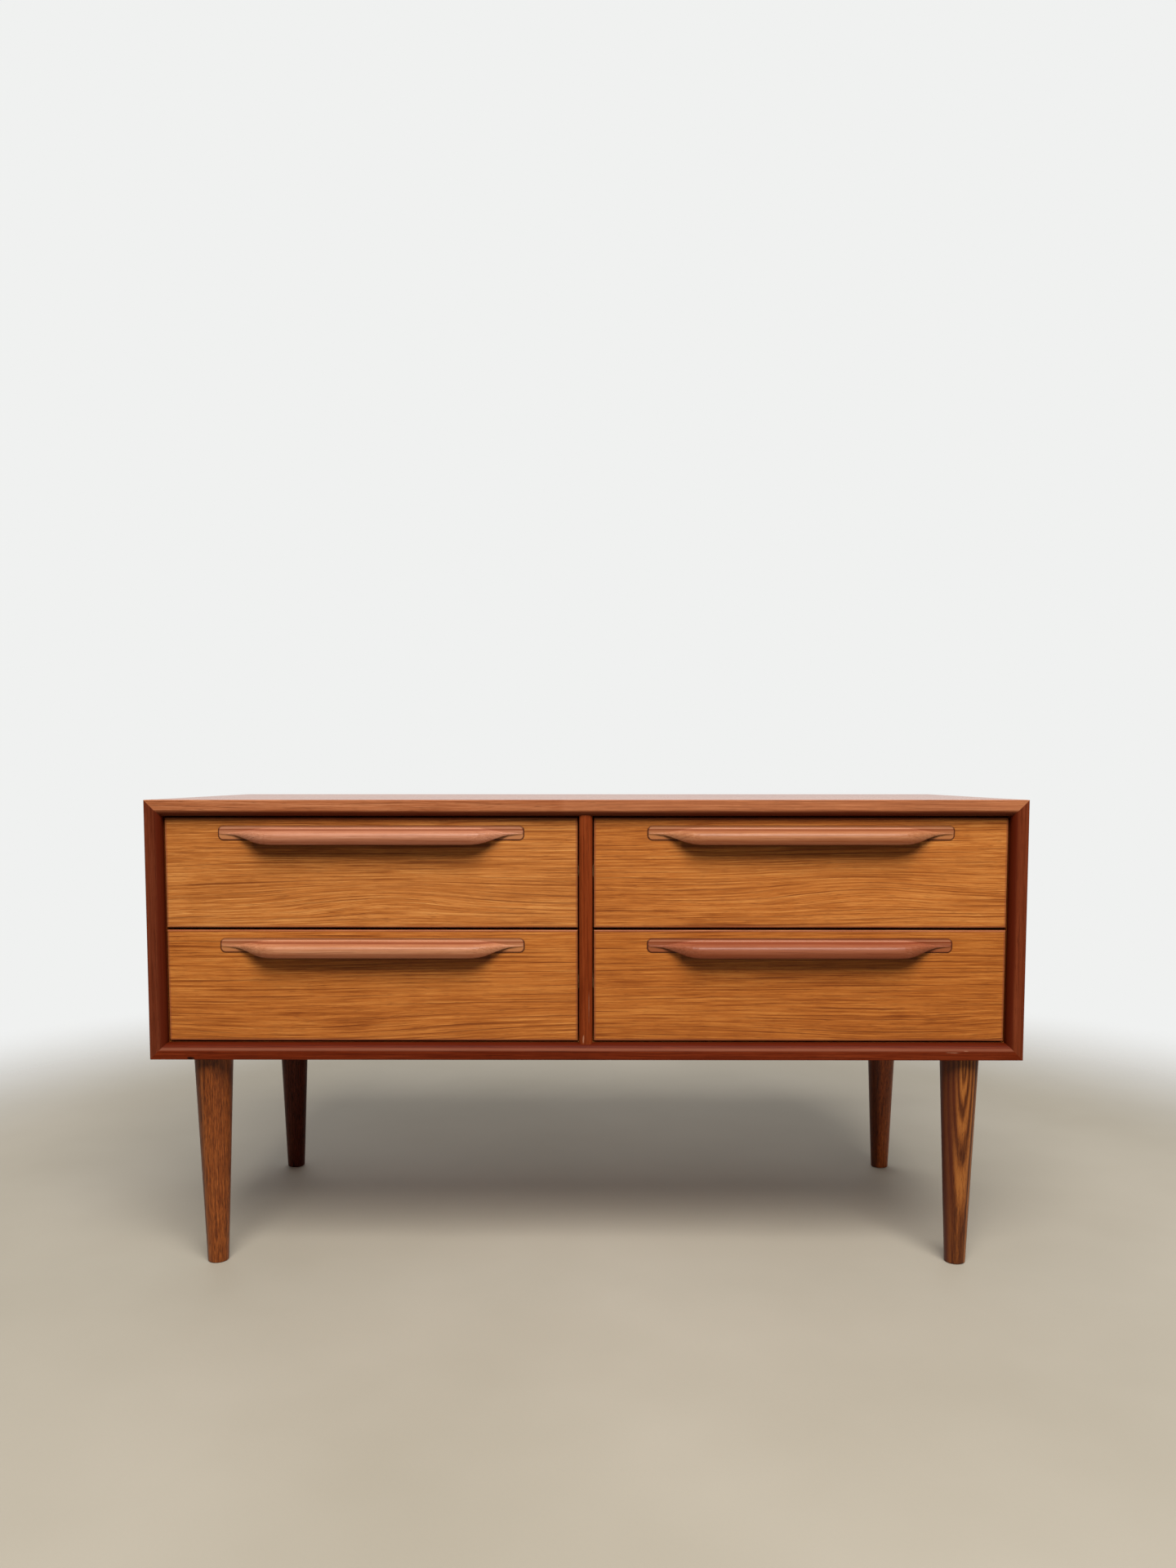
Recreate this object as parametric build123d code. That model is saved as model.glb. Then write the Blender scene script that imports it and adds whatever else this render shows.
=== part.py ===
from build123d import *
import os
from math import sqrt

# A low dresser: a mitred, veneered case with a rounded hardwood lipping round its front, a central
# divider, four inset drawers that hang on hardwood runners, and four turned and tapered legs.
#
# Millimetres. +X is to the right as seen from the front, +Y goes back into the case, +Z is up. The
# origin is on the floor, under the middle of the whole piece, handles included.

# ---------------------------------------------------------------- case
CASE_WIDTH = 1100.0
CASE_DEPTH = 450.0
CASE_HEIGHT = 327.5
PANEL_THICKNESS = 20.0
DIVIDER_THICKNESS = 17.0

LIPPING_DEPTH = 14.0  # front to back
LIPPING_ROUND = 8.0  # the lipping's inner front edge
LIPPING_ARRIS = 1.0  # its outer front edge
DIVIDER_LIPPING_DEPTH = 14.0
DIVIDER_LIPPING_ROUND = 5.5
DIVIDER_SETBACK = 4.0  # behind the front of the case

BACK_THICKNESS = 6.0
BACK_INSET = 1.0  # the back lies this deep inside the case's rear edge
REBATE_WIDTH = 9.0  # how far the back laps onto each panel
BACK_PLAY = 0.5  # round the back, in its rebate
BACK_SCREW_COUNT = 6  # along its top and its bottom
BACK_SCREW_END = 50.0  # outer screws, from the case's inner corners

TONGUE_THICKNESS = 4.0  # loose tongues in the case's mitred corners
TONGUE_WIDTH = 14.0
TONGUE_OFFSET = 9.0  # from the case's inner corner, along the mitre
TONGUE_SHORT = 20.0  # the tongue stops this short of each end of the panels
DOWEL_RADIUS = 4.0
DOWEL_IN_PANEL = 12.0
DOWEL_IN_DIVIDER = 18.0
DOWEL_COUNT = 3  # at each end of the divider
DOWEL_END = 60.0  # outer dowels, from the divider's front and back edges
GLUE_PLAY = 0.1  # round a tongue or dowel

# ---------------------------------------------------------------- drawers
FACE_RECESS = 12.0  # drawer faces behind the front of the case
GAP_TOP = 2.0
GAP_MIDDLE = 3.0
GAP_BOTTOM = 2.0
GAP_SIDE = 1.5
LOWER_FRONT_HEIGHT = 141.5  # the upper fronts fill what is left
FRONT_THICKNESS = 20.0
FRONT_ROUND = 1.5  # the face's four edges
SIDE_THICKNESS = 12.0
SIDE_BELOW_FRONT = 17.0  # the drawer side's top, below the front's top
SIDE_ABOVE_FRONT = 6.0  # the drawer side's lower edge, above the front's
REAR_CLEARANCE = 14.0  # between a closed drawer and the case's back
DRAWER_BACK_THICKNESS = 12.0
BOTTOM_THICKNESS = 4.0
BOTTOM_RISE = 8.0  # above the sides' lower edges
BOTTOM_LET_IN = 5.0  # into the sides and the front
BOTTOM_PLAY = 0.1
TAIL_COUNT = 3
TAIL_LENGTH = 12.0  # half-blind, into the front
TAIL_FLARE = 2.5  # how much wider a tail is at each side of its tip
PIN_WIDTH = 9.0  # narrow end of a pin

# ---------------------------------------------------------------- runners
RUNNER_HEIGHT = 13.4
RUNNER_LET_IN = 7.0  # depth of the groove in the drawer side
RUNNER_PLAY = 0.3  # above and below the runner
RUNNER_END_PLAY = 0.6  # between the runner's face and the groove's floor
STOP_PLAY = 0.4  # a closed drawer's front stands this far off its runners' ends
RUNNER_REAR_GAP = 20.0  # the runner stops this far before the case's back
RUNNER_SCREW_END = 45.0
RUNNER_SCREW_COUNT = 3

# ---------------------------------------------------------------- handles
HANDLE_LENGTH = 383.0
HANDLE_HEIGHT = 17.5
HANDLE_CORNER = 6.0
HANDLE_LET_IN = 5.0
HANDLE_PLAY = 0.15
HANDLE_PROUD = 0.5  # the lower half of its base stands this far off the drawer's face
HANDLE_TOP_PROUD = 0.8  # its top edge
HANDLE_DROP = 19.5  # middle of the handle's base below the front's top
LIP_REACH = 22.0  # how far the lip stands off the drawer's face
LIP_SHOULDER = 1.95  # plain strip along the base's top edge, above the lip's hollow top
LIP_CREST = (8.0, 4.6)  # where the hollow turns into the lip: out from the face, above the middle
LIP_NOSE = -5.0  # height of its foremost line, from the base's middle
LIP_HANG = 14.2  # the lip's lowest edge, below the base's middle
LIP_TIP = 4.0  # width of its lowest edge
LIP_TIP_RISE = 1.2  # how far that edge is rounded up at each side
LIP_UNDER = 1.0  # where its underside meets the base, below the base's middle
# How the lip dies away at each end, down to a low ridge: place along the handle, from its middle,
# then the shares left of its reach, of what stands above the middle, and of what hangs below it
LIP_ENDS = [
    (118.0, 1.0, 1.0, 1.0),
    (128.0, 0.97, 1.0, 0.985),
    (136.0, 0.88, 0.98, 0.93),
    (144.0, 0.72, 0.88, 0.81),
    (151.0, 0.54, 0.70, 0.64),
    (158.0, 0.36, 0.48, 0.46),
    (165.0, 0.21, 0.28, 0.29),
    (172.0, 0.11, 0.15, 0.18),
    (181.0, 0.065, 0.10, 0.14),
    (189.5, 0.045, 0.08, 0.12),
]
HANDLE_SCREW_HALF = 118.0
HANDLE_SCREW_HEIGHT = 1.6  # above the base's middle

# ---------------------------------------------------------------- legs
LEG_HEIGHT = 274.0  # floor to the case's underside
LEG_TOP_RADIUS = 24.25
LEG_FOOT_RADIUS = 13.25
LEG_FOOT_ROUND = 1.8
LEG_TOP_ROUND = 0.8
FRONT_LEG_SIDE_INSET = 69.0  # leg's axis from the case's end
BACK_LEG_SIDE_INSET = 76.5
LEG_END_INSET = 37.0  # leg's axis from the case's front, and from its rear edge
PLATE_SIZE = 50.0
PLATE_THICKNESS = 2.0
PLATE_CORNER = 6.0
PLATE_SCREW_SPACING = 39.0
BOSS_RADIUS = 7.0
BOSS_HEIGHT = 10.0
BOSS_PLAY = 0.5
BOLT_RADIUS = 4.0
BOLT_IN_LEG = 32.0
BOLT_PLAY = 0.05

# ---------------------------------------------------------------- screws
SCREW_PLAY = 0.05
SCREW_SLOT = 0.8
SCREW_POINT = 3.0  # length of the tapered end
RUNNER_SCREW_BITE = 7.0  # how far each kind goes into the piece that holds its thread
BACK_SCREW_BITE = 10.0
PLATE_SCREW_BITE = 13.0
HANDLE_SCREW_BITE = 7.0


class Screw:
    """Countersunk slotted wood screw: length overall, and radii of head and shank."""

    def __init__(self, length, head, shank):
        self.length = length
        self.head = head
        self.shank = shank

    def turned(self, play):
        """The screw's turned shape, its head up at z 0 and its point down, grown by play."""
        head = self.head + play
        shank = self.shank + play
        outline = [
            (0, 0, 0),
            (head, 0, 0),
            (shank, 0, shank - head),
            (shank, 0, SCREW_POINT - self.length),
            (0, 0, -self.length - play),
        ]
        face = Face(Wire.make_polygon(outline, close=True))
        return revolve(face, Axis.Z)

    def body(self):
        slot = Box(2 * self.head, SCREW_SLOT, 2 * SCREW_SLOT)
        return self.turned(0) - slot

    def hole(self):
        return self.turned(SCREW_PLAY)


RUNNER_THICKNESS = GAP_SIDE + RUNNER_LET_IN - RUNNER_END_PLAY
RUNNER_SCREW = Screw(RUNNER_THICKNESS + RUNNER_SCREW_BITE, 3.4, 1.6)
BACK_SCREW = Screw(BACK_THICKNESS + BACK_SCREW_BITE, 3.2, 1.5)
PLATE_SCREW = Screw(PLATE_THICKNESS + PLATE_SCREW_BITE, 3.6, 1.7)
HANDLE_SCREW = Screw(FRONT_THICKNESS - HANDLE_LET_IN + HANDLE_SCREW_BITE, 3.8, 1.8)

# ---------------------------------------------------------------- derived places
RISE = LEG_HEIGHT
TOP = RISE + CASE_HEIGHT
INNER_LOW = RISE + PANEL_THICKNESS
INNER_HIGH = TOP - PANEL_THICKNESS
HALF = CASE_WIDTH / 2
INNER_HALF = HALF - PANEL_THICKNESS

LIP_OVERHANG = max(LIP_REACH - FACE_RECESS, 0.0)  # the handles in front of the case
FRONT = (LIP_OVERHANG - CASE_DEPTH) / 2
REAR = FRONT + CASE_DEPTH
PANEL_FRONT = FRONT + LIPPING_DEPTH
BACK_FRONT = REAR - BACK_INSET - BACK_THICKNESS
DIVIDER_FRONT = FRONT + DIVIDER_SETBACK
DIVIDER_PANEL_FRONT = DIVIDER_FRONT + DIVIDER_LIPPING_DEPTH

FACE = FRONT + FACE_RECESS
BEHIND_FRONT = FACE + FRONT_THICKNESS
DRAWER_REAR = BACK_FRONT - REAR_CLEARANCE

# A column is the space between a case side and the divider, and a level is the height that a
# drawer's front takes up. Each drawer is named by its place.
COLUMNS = {
    "left": (-INNER_HALF, -DIVIDER_THICKNESS / 2),
    "right": (DIVIDER_THICKNESS / 2, INNER_HALF),
}
LOWER_FRONT_TOP = INNER_LOW + GAP_BOTTOM + LOWER_FRONT_HEIGHT
LEVELS = {
    "upper": (LOWER_FRONT_TOP + GAP_MIDDLE, INNER_HIGH - GAP_TOP),
    "lower": (INNER_LOW + GAP_BOTTOM, LOWER_FRONT_TOP),
}
DRAWERS = [(level, column) for level in LEVELS for column in COLUMNS]


def block(x, y, z):
    """A box from its (low, high) pair along each axis."""
    size = [high - low for low, high in (x, y, z)]
    middle = [(high + low) / 2 for low, high in (x, y, z)]
    return Pos(*middle) * Box(*size)


def prism(corners, direction, length):
    """A flat outline, given by its corners in space, pushed out along a direction."""
    return extrude(Face(Wire.make_polygon(corners, close=True)), amount=length, dir=direction)


def spaced(low, high, count):
    """Evenly spaced places from low to high, both included."""
    return [low + (high - low) * i / (count - 1) for i in range(count)]


def together(solids):
    """Separate solids as one group."""
    return Compound(children=[s for solid in solids for s in solid.solids()])


# ---------------------------------------------------------------- fastener places
def at(x, y, z, direction):
    """A place for a screw: its head's middle, and the way its point goes."""
    return Plane(origin=(x, y, z), z_dir=[-d for d in direction]).location


def leg_places():
    """Each leg's axis, by its place."""
    front = HALF - FRONT_LEG_SIDE_INSET
    back = HALF - BACK_LEG_SIDE_INSET
    return {
        "front_left": (-front, FRONT + LEG_END_INSET),
        "front_right": (front, FRONT + LEG_END_INSET),
        "back_left": (-back, REAR - LEG_END_INSET),
        "back_right": (back, REAR - LEG_END_INSET),
    }


def plate_screw_places(x, y):
    """Heads sunk into the underside of the plate of the leg at x and y, points up into the case."""
    reach = PLATE_SCREW_SPACING / 2
    under = RISE - PLATE_THICKNESS
    corners = [(i * reach, j * reach) for i in (-1, 1) for j in (-1, 1)]
    return [at(x + i, y + j, under, (0, 0, 1)) for i, j in corners]


def all_plate_screw_places():
    return [place for x, y in leg_places().values() for place in plate_screw_places(x, y)]


def back_screw_places():
    """Heads flush with the back's rear face, points forward into the panels' rebates."""
    lap = (REBATE_WIDTH - BACK_PLAY) / 2
    across = INNER_HALF - BACK_SCREW_END
    up = (INNER_LOW + BACK_SCREW_END, INNER_HIGH - BACK_SCREW_END)
    rows = (INNER_LOW - lap, INNER_HIGH + lap)
    spots = [(x, z) for z in rows for x in spaced(-across, across, BACK_SCREW_COUNT)]
    spots += [(x, z) for x in (-INNER_HALF - lap, 0, INNER_HALF + lap) for z in up]
    return [at(x, BACK_FRONT + BACK_THICKNESS, z, (0, -1, 0)) for x, z in spots]


# ---------------------------------------------------------------- case
def mitred_outline(edge):
    """A panel's mitred end view in X and Z: its outer corners, then its inner ones."""
    outer = {
        "top": [(-HALF, TOP), (HALF, TOP)],
        "right": [(HALF, TOP), (HALF, RISE)],
        "bottom": [(HALF, RISE), (-HALF, RISE)],
        "left": [(-HALF, RISE), (-HALF, TOP)],
    }[edge]
    inner = {
        (-HALF, TOP): (-INNER_HALF, INNER_HIGH),
        (HALF, TOP): (INNER_HALF, INNER_HIGH),
        (HALF, RISE): (INNER_HALF, INNER_LOW),
        (-HALF, RISE): (-INNER_HALF, INNER_LOW),
    }
    return outer + [inner[outer[1]], inner[outer[0]]]


def mitred(edge, y_low, y_high):
    """A board or strip of the case, mitred at both ends."""
    corners = [(x, y_low, z) for x, z in mitred_outline(edge)]
    return prism(corners, (0, 1, 0), y_high - y_low)


def back_rebate():
    x = INNER_HALF + REBATE_WIDTH
    return block((-x, x), (BACK_FRONT, REAR), (INNER_LOW - REBATE_WIDTH, INNER_HIGH + REBATE_WIDTH))


def corner_tongues(play=0.0):
    """One loose tongue across each mitre of the case, or with play the grooves for them."""
    tongues = []
    length = REAR - PANEL_FRONT - 2 * TONGUE_SHORT + 2 * play
    for side in (-1, 1):
        for up, z in ((-1, INNER_LOW), (1, INNER_HIGH)):
            # TONGUE_OFFSET runs from the case's inner corner outwards, along the mitre
            x_middle = side * (INNER_HALF + TONGUE_OFFSET / sqrt(2))
            z_middle = z + up * TONGUE_OFFSET / sqrt(2)
            tongue = Box(TONGUE_WIDTH + 2 * play, length, TONGUE_THICKNESS + 2 * play)
            turned = Rot(0, side * up * 45, 0) * tongue
            tongues.append(Pos(x_middle, (PANEL_FRONT + REAR) / 2, z_middle) * turned)
    return tongues


def divider_dowels(play=0.0):
    """Dowels in the divider's top and bottom edges, or with play the holes for them."""
    dowels = []
    length = DOWEL_IN_PANEL + DOWEL_IN_DIVIDER + 2 * play
    offset = (DOWEL_IN_PANEL - DOWEL_IN_DIVIDER) / 2
    for y in spaced(DIVIDER_PANEL_FRONT + DOWEL_END, BACK_FRONT - DOWEL_END, DOWEL_COUNT):
        for z in (INNER_HIGH + offset, INNER_LOW - offset):
            dowels.append(Pos(0, y, z) * Cylinder(DOWEL_RADIUS + play, length))
    return dowels


def leg_sockets():
    """Blind holes in the case's underside, for the leg plates' bosses and screws."""
    depth = BOSS_HEIGHT + BOSS_PLAY
    bosses = [
        Pos(x, y, RISE + depth / 2) * Cylinder(BOSS_RADIUS + BOSS_PLAY, depth)
        for x, y in leg_places().values()
    ]
    return bosses + [place * PLATE_SCREW.hole() for place in all_plate_screw_places()]


def case_panel(edge):
    panel = mitred(edge, PANEL_FRONT, REAR) - back_rebate()
    for tongue in corner_tongues(GLUE_PLAY):
        panel -= tongue
    if edge in ("top", "bottom"):
        for dowel in divider_dowels(GLUE_PLAY):
            panel -= dowel
    if edge == "bottom":
        for socket in leg_sockets():
            panel -= socket
    for place in back_screw_places():
        panel -= place * BACK_SCREW.hole()
    if edge in ("left", "right"):
        for hole in runner_screw_holes(edge):
            panel -= hole
    return panel


def lipping_outline():
    """The lipping's section: (inwards from the case's outer face, back from its front)."""
    width, depth = PANEL_THICKNESS, LIPPING_DEPTH
    round_middle = width - LIPPING_ROUND
    return Wire(
        [
            Line((LIPPING_ARRIS, 0), (round_middle, 0)),
            CenterArc((round_middle, LIPPING_ROUND), LIPPING_ROUND, -90, 90),
            Line((width, LIPPING_ROUND), (width, depth)),
            Line((width, depth), (0, depth)),
            Line((0, depth), (0, LIPPING_ARRIS)),
            CenterArc((LIPPING_ARRIS, LIPPING_ARRIS), LIPPING_ARRIS, 180, 90),
        ]
    )


def lipping(edge):
    """One side of the lipping, mitred at both ends."""
    # the section's x runs inwards from the outer face, its y back from the case's front
    origin, inwards, length = {
        "top": ((-HALF, FRONT, TOP), (0, 0, -1), CASE_WIDTH),
        "bottom": ((HALF, FRONT, RISE), (0, 0, 1), CASE_WIDTH),
        "left": ((-HALF, FRONT, RISE), (1, 0, 0), CASE_HEIGHT),
        "right": ((HALF, FRONT, TOP), (-1, 0, 0), CASE_HEIGHT),
    }[edge]
    along = Vector(*inwards).cross(Vector(0, 1, 0))
    section = Plane(origin=origin, x_dir=inwards, z_dir=along) * Face(lipping_outline())
    strip = extrude(section, amount=length, dir=along)
    strip = strip & mitred(edge, FRONT, PANEL_FRONT)
    if edge == "bottom":
        for place in all_plate_screw_places():
            strip -= place * PLATE_SCREW.hole()
    return strip


def divider_panel():
    half = DIVIDER_THICKNESS / 2
    panel = block((-half, half), (DIVIDER_PANEL_FRONT, BACK_FRONT), (INNER_LOW, INNER_HIGH))
    for dowel in divider_dowels(GLUE_PLAY):
        panel -= dowel
    for hole in runner_screw_holes("divider"):
        panel -= hole
    for place in back_screw_places():
        panel -= place * BACK_SCREW.hole()
    return panel


def divider_lipping():
    """Its ends are scribed to the rounded inner edges of the case's lipping."""
    half = DIVIDER_THICKNESS / 2
    z = (INNER_LOW - LIPPING_ROUND, INNER_HIGH + LIPPING_ROUND)
    strip = block((-half, half), (DIVIDER_FRONT, DIVIDER_PANEL_FRONT), z)
    front_edges = strip.edges().filter_by(Axis.Z).group_by(Axis.Y)[0]
    strip = fillet(front_edges, DIVIDER_LIPPING_ROUND)
    for edge in ("top", "bottom"):
        strip = strip - lipping(edge) - case_panel(edge)
    return strip


def back_panel():
    x = INNER_HALF + REBATE_WIDTH - BACK_PLAY
    z = (INNER_LOW - REBATE_WIDTH + BACK_PLAY, INNER_HIGH + REBATE_WIDTH - BACK_PLAY)
    panel = block((-x, x), (BACK_FRONT, BACK_FRONT + BACK_THICKNESS), z)
    for place in back_screw_places():
        panel -= place * BACK_SCREW.hole()
    return panel


# ---------------------------------------------------------------- drawer places
def drawer_box(level, column):
    """A drawer's outside: its x range and its front's z range."""
    x_low, x_high = COLUMNS[column]
    return (x_low + GAP_SIDE, x_high - GAP_SIDE), LEVELS[level]


def drawer_heights(level):
    """Lower edge of the sides, lower edge of the drawer's back, and top edge of both."""
    front_low, front_high = LEVELS[level]
    side_low = front_low + SIDE_ABOVE_FRONT
    back_low = side_low + BOTTOM_RISE + BOTTOM_THICKNESS + BOTTOM_PLAY
    return side_low, back_low, front_high - SIDE_BELOW_FRONT


def runner_height(level):
    """Middle of the runner, which is the middle of the drawer back's middle dovetail."""
    _, back_low, side_high = drawer_heights(level)
    return (back_low + side_high) / 2


# ---------------------------------------------------------------- runners
RUNNER_FRONT = BEHIND_FRONT + STOP_PLAY
RUNNER_REAR = BACK_FRONT - RUNNER_REAR_GAP


def runner_screw_places(level, column, hand):
    """Heads in the runner's face, points out into the case side or the divider."""
    x_low, x_high = COLUMNS[column]
    face, out = {
        "left": (x_low + RUNNER_THICKNESS, (-1, 0, 0)),
        "right": (x_high - RUNNER_THICKNESS, (1, 0, 0)),
    }[hand]
    z = runner_height(level)
    ends = (RUNNER_FRONT + RUNNER_SCREW_END, RUNNER_REAR - RUNNER_SCREW_END)
    return [at(face, y, z, out) for y in spaced(*ends, RUNNER_SCREW_COUNT)]


def runner(level, column, hand):
    x_low, x_high = COLUMNS[column]
    x = {
        "left": (x_low, x_low + RUNNER_THICKNESS),
        "right": (x_high - RUNNER_THICKNESS, x_high),
    }[hand]
    z = runner_height(level)
    strip = block(x, (RUNNER_FRONT, RUNNER_REAR), (z - RUNNER_HEIGHT / 2, z + RUNNER_HEIGHT / 2))
    for place in runner_screw_places(level, column, hand):
        strip -= place * RUNNER_SCREW.hole()
    return strip


def runner_screw_holes(wall):
    """The runner screws' holes in a case side, or in the divider."""
    runners = {
        "left": [("left", "left")],
        "right": [("right", "right")],
        "divider": [("left", "right"), ("right", "left")],
    }[wall]
    return [
        place * RUNNER_SCREW.hole()
        for level in LEVELS
        for column, hand in runners
        for place in runner_screw_places(level, column, hand)
    ]


# ---------------------------------------------------------------- drawers
def tails(x, y_root, y_tip, z_low, z_high):
    """A column of dovetails through a board whose x range is x, wide at the tip."""
    pitch = (z_high - z_low) / TAIL_COUNT
    tip = (pitch - PIN_WIDTH) / 2
    root = tip - TAIL_FLARE
    row = []
    for i in range(TAIL_COUNT):
        z = z_low + (i + 0.5) * pitch
        corners = [
            (x[0], y_root, z - root),
            (x[0], y_root, z + root),
            (x[0], y_tip, z + tip),
            (x[0], y_tip, z - tip),
        ]
        row.append(prism(corners, (1, 0, 0), x[1] - x[0]))
    return row


def drawer_side_x(level, column, hand):
    (x_low, x_high), _ = drawer_box(level, column)
    return {
        "left": (x_low, x_low + SIDE_THICKNESS),
        "right": (x_high - SIDE_THICKNESS, x_high),
    }[hand]


def front_tails(level, column, hand):
    side_low, _, side_high = drawer_heights(level)
    x = drawer_side_x(level, column, hand)
    return tails(x, BEHIND_FRONT, BEHIND_FRONT - TAIL_LENGTH, side_low, side_high)


def rear_tails(level, column, hand):
    _, back_low, side_high = drawer_heights(level)
    x = drawer_side_x(level, column, hand)
    return tails(x, DRAWER_REAR - DRAWER_BACK_THICKNESS, DRAWER_REAR, back_low, side_high)


def bottom_board(level, column, play):
    """The drawer's bottom, or with play the groove that takes it."""
    (x_low, x_high), _ = drawer_box(level, column)
    let_in = BOTTOM_LET_IN - BOTTOM_PLAY + play
    inner = (x_low + SIDE_THICKNESS, x_high - SIDE_THICKNESS)
    z = drawer_heights(level)[0] + BOTTOM_RISE
    return block(
        (inner[0] - let_in, inner[1] + let_in),
        (BEHIND_FRONT - let_in, DRAWER_REAR + play),
        (z - play, z + BOTTOM_THICKNESS + play),
    )


def handle_middle(level, column):
    (x_low, x_high), (_, z_high) = drawer_box(level, column)
    return (x_low + x_high) / 2, z_high - HANDLE_DROP


def handle_screw_places(level, column):
    x, z = handle_middle(level, column)
    height = z + HANDLE_SCREW_HEIGHT
    return [at(x + k * HANDLE_SCREW_HALF, BEHIND_FRONT, height, (0, -1, 0)) for k in (-1, 1)]


def drawer_front(level, column):
    x, z = drawer_box(level, column)
    front = block(x, (FACE, BEHIND_FRONT), z)
    front = fillet(front.faces().sort_by(Axis.Y)[0].edges(), FRONT_ROUND)
    for hand in ("left", "right"):
        for tail in front_tails(level, column, hand):
            front -= tail
    front -= bottom_board(level, column, BOTTOM_PLAY)
    front -= handle_base(level, column, HANDLE_PLAY)
    for place in handle_screw_places(level, column):
        front -= place * HANDLE_SCREW.hole()
    return front


def drawer_side(level, column, hand):
    side_low, back_low, side_high = drawer_heights(level)
    x = drawer_side_x(level, column, hand)
    corner_front = DRAWER_REAR - DRAWER_BACK_THICKNESS
    side = block(x, (BEHIND_FRONT, corner_front), (side_low, side_high))
    side += block(x, (corner_front, DRAWER_REAR), (side_low, back_low))
    for tail in front_tails(level, column, hand) + rear_tails(level, column, hand):
        side += tail
    side -= bottom_board(level, column, BOTTOM_PLAY)
    return side - runner_groove(level, column, hand)


def runner_groove(level, column, hand):
    x_low, x_high = drawer_side_x(level, column, hand)
    x = {
        "left": (x_low, x_low + RUNNER_LET_IN),
        "right": (x_high - RUNNER_LET_IN, x_high),
    }[hand]
    z = runner_height(level)
    half = RUNNER_HEIGHT / 2 + RUNNER_PLAY
    return block(x, (BEHIND_FRONT, DRAWER_REAR), (z - half, z + half))


def drawer_back(level, column):
    x, _ = drawer_box(level, column)
    _, back_low, side_high = drawer_heights(level)
    board = block(x, (DRAWER_REAR - DRAWER_BACK_THICKNESS, DRAWER_REAR), (back_low, side_high))
    for hand in ("left", "right"):
        for tail in rear_tails(level, column, hand):
            board -= tail
    return board


# ---------------------------------------------------------------- handles
def handle_base(level, column, play):
    """The handle's base, or with play the pocket that it is let into."""
    x, z = handle_middle(level, column)
    floor = Plane(origin=(x, FACE + HANDLE_LET_IN + play, z), x_dir=(1, 0, 0), z_dir=(0, -1, 0))
    size = (HANDLE_LENGTH + 2 * play, HANDLE_HEIGHT + 2 * play)
    outline = floor * RectangleRounded(*size, HANDLE_CORNER + play)
    return extrude(outline, amount=HANDLE_LET_IN + play + HANDLE_PROUD, dir=(0, -1, 0))


def lip_section(out=1.0, above=1.0, below=1.0):
    """The lip with the base's upper half: (out from the drawer's face, up from the middle).

    The shares shrink its reach, what stands above the middle and what hangs below it.
    """

    def place(v, w):
        return v * out, w * (above if w > 0 else below)

    top = HANDLE_HEIGHT / 2
    edge = place(HANDLE_TOP_PROUD, top)
    root = place(HANDLE_TOP_PROUD, top - LIP_SHOULDER)
    crest = place(*LIP_CREST)
    nose = place(LIP_REACH, LIP_NOSE)
    tip_front = place(LIP_REACH - LIP_TIP / 2, LIP_TIP_RISE - LIP_HANG)
    tip_low = place(LIP_REACH - LIP_TIP, -LIP_HANG)
    tip_back = place(LIP_REACH - 1.5 * LIP_TIP, LIP_TIP_RISE - LIP_HANG)
    under = place(0, -LIP_UNDER)
    over = place(0, top)
    slope = (4 * out, -above)
    return Wire(
        [
            Line(over, edge),
            Line(edge, root),
            Spline([root, crest], tangents=[(0, -1), slope]),
            Spline([crest, nose], tangents=[slope, (0, -1)]),
            Spline([nose, tip_front], tangents=[(0, -1), (-out, -2 * below)]),
            ThreePointArc(tip_front, tip_low, tip_back),
            Spline([tip_back, under], tangents=[(-out, 3 * below), (-1, 0)]),
            Line(under, over),
        ]
    )


def lip(level, column):
    """The lip, at full section along its middle and dying away to a low ridge at each end."""
    x, z = handle_middle(level, column)

    def section(u, shares):
        end_on = Plane(origin=(x + u, FACE, z), x_dir=(0, -1, 0), z_dir=(-1, 0, 0))
        return end_on * Face(lip_section(*shares))

    half = LIP_ENDS[0][0]
    bar = extrude(section(half, LIP_ENDS[0][1:]), amount=2 * half, dir=(-1, 0, 0))
    for side in (-1, 1):
        bar += loft([section(side * u, shares) for u, *shares in LIP_ENDS], ruled=True)
    # the base's upper half, with the base's rounded corners
    face_on = Plane(origin=(x, FACE, z), x_dir=(1, 0, 0), z_dir=(0, -1, 0))
    corners = face_on * RectangleRounded(HANDLE_LENGTH, HANDLE_HEIGHT, HANDLE_CORNER)
    across = (x - HANDLE_LENGTH / 2, x + HANDLE_LENGTH / 2)
    upper = block(across, (FACE - HANDLE_TOP_PROUD, FACE), (z - LIP_UNDER, z + HANDLE_HEIGHT / 2))
    return bar + (upper & extrude(corners, amount=HANDLE_TOP_PROUD, dir=(0, -1, 0)))


def handle(level, column):
    """Base and lip, in one piece of wood."""
    whole = handle_base(level, column, 0) + lip(level, column)
    for place in handle_screw_places(level, column):
        whole -= place * HANDLE_SCREW.hole()
    return whole


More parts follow.
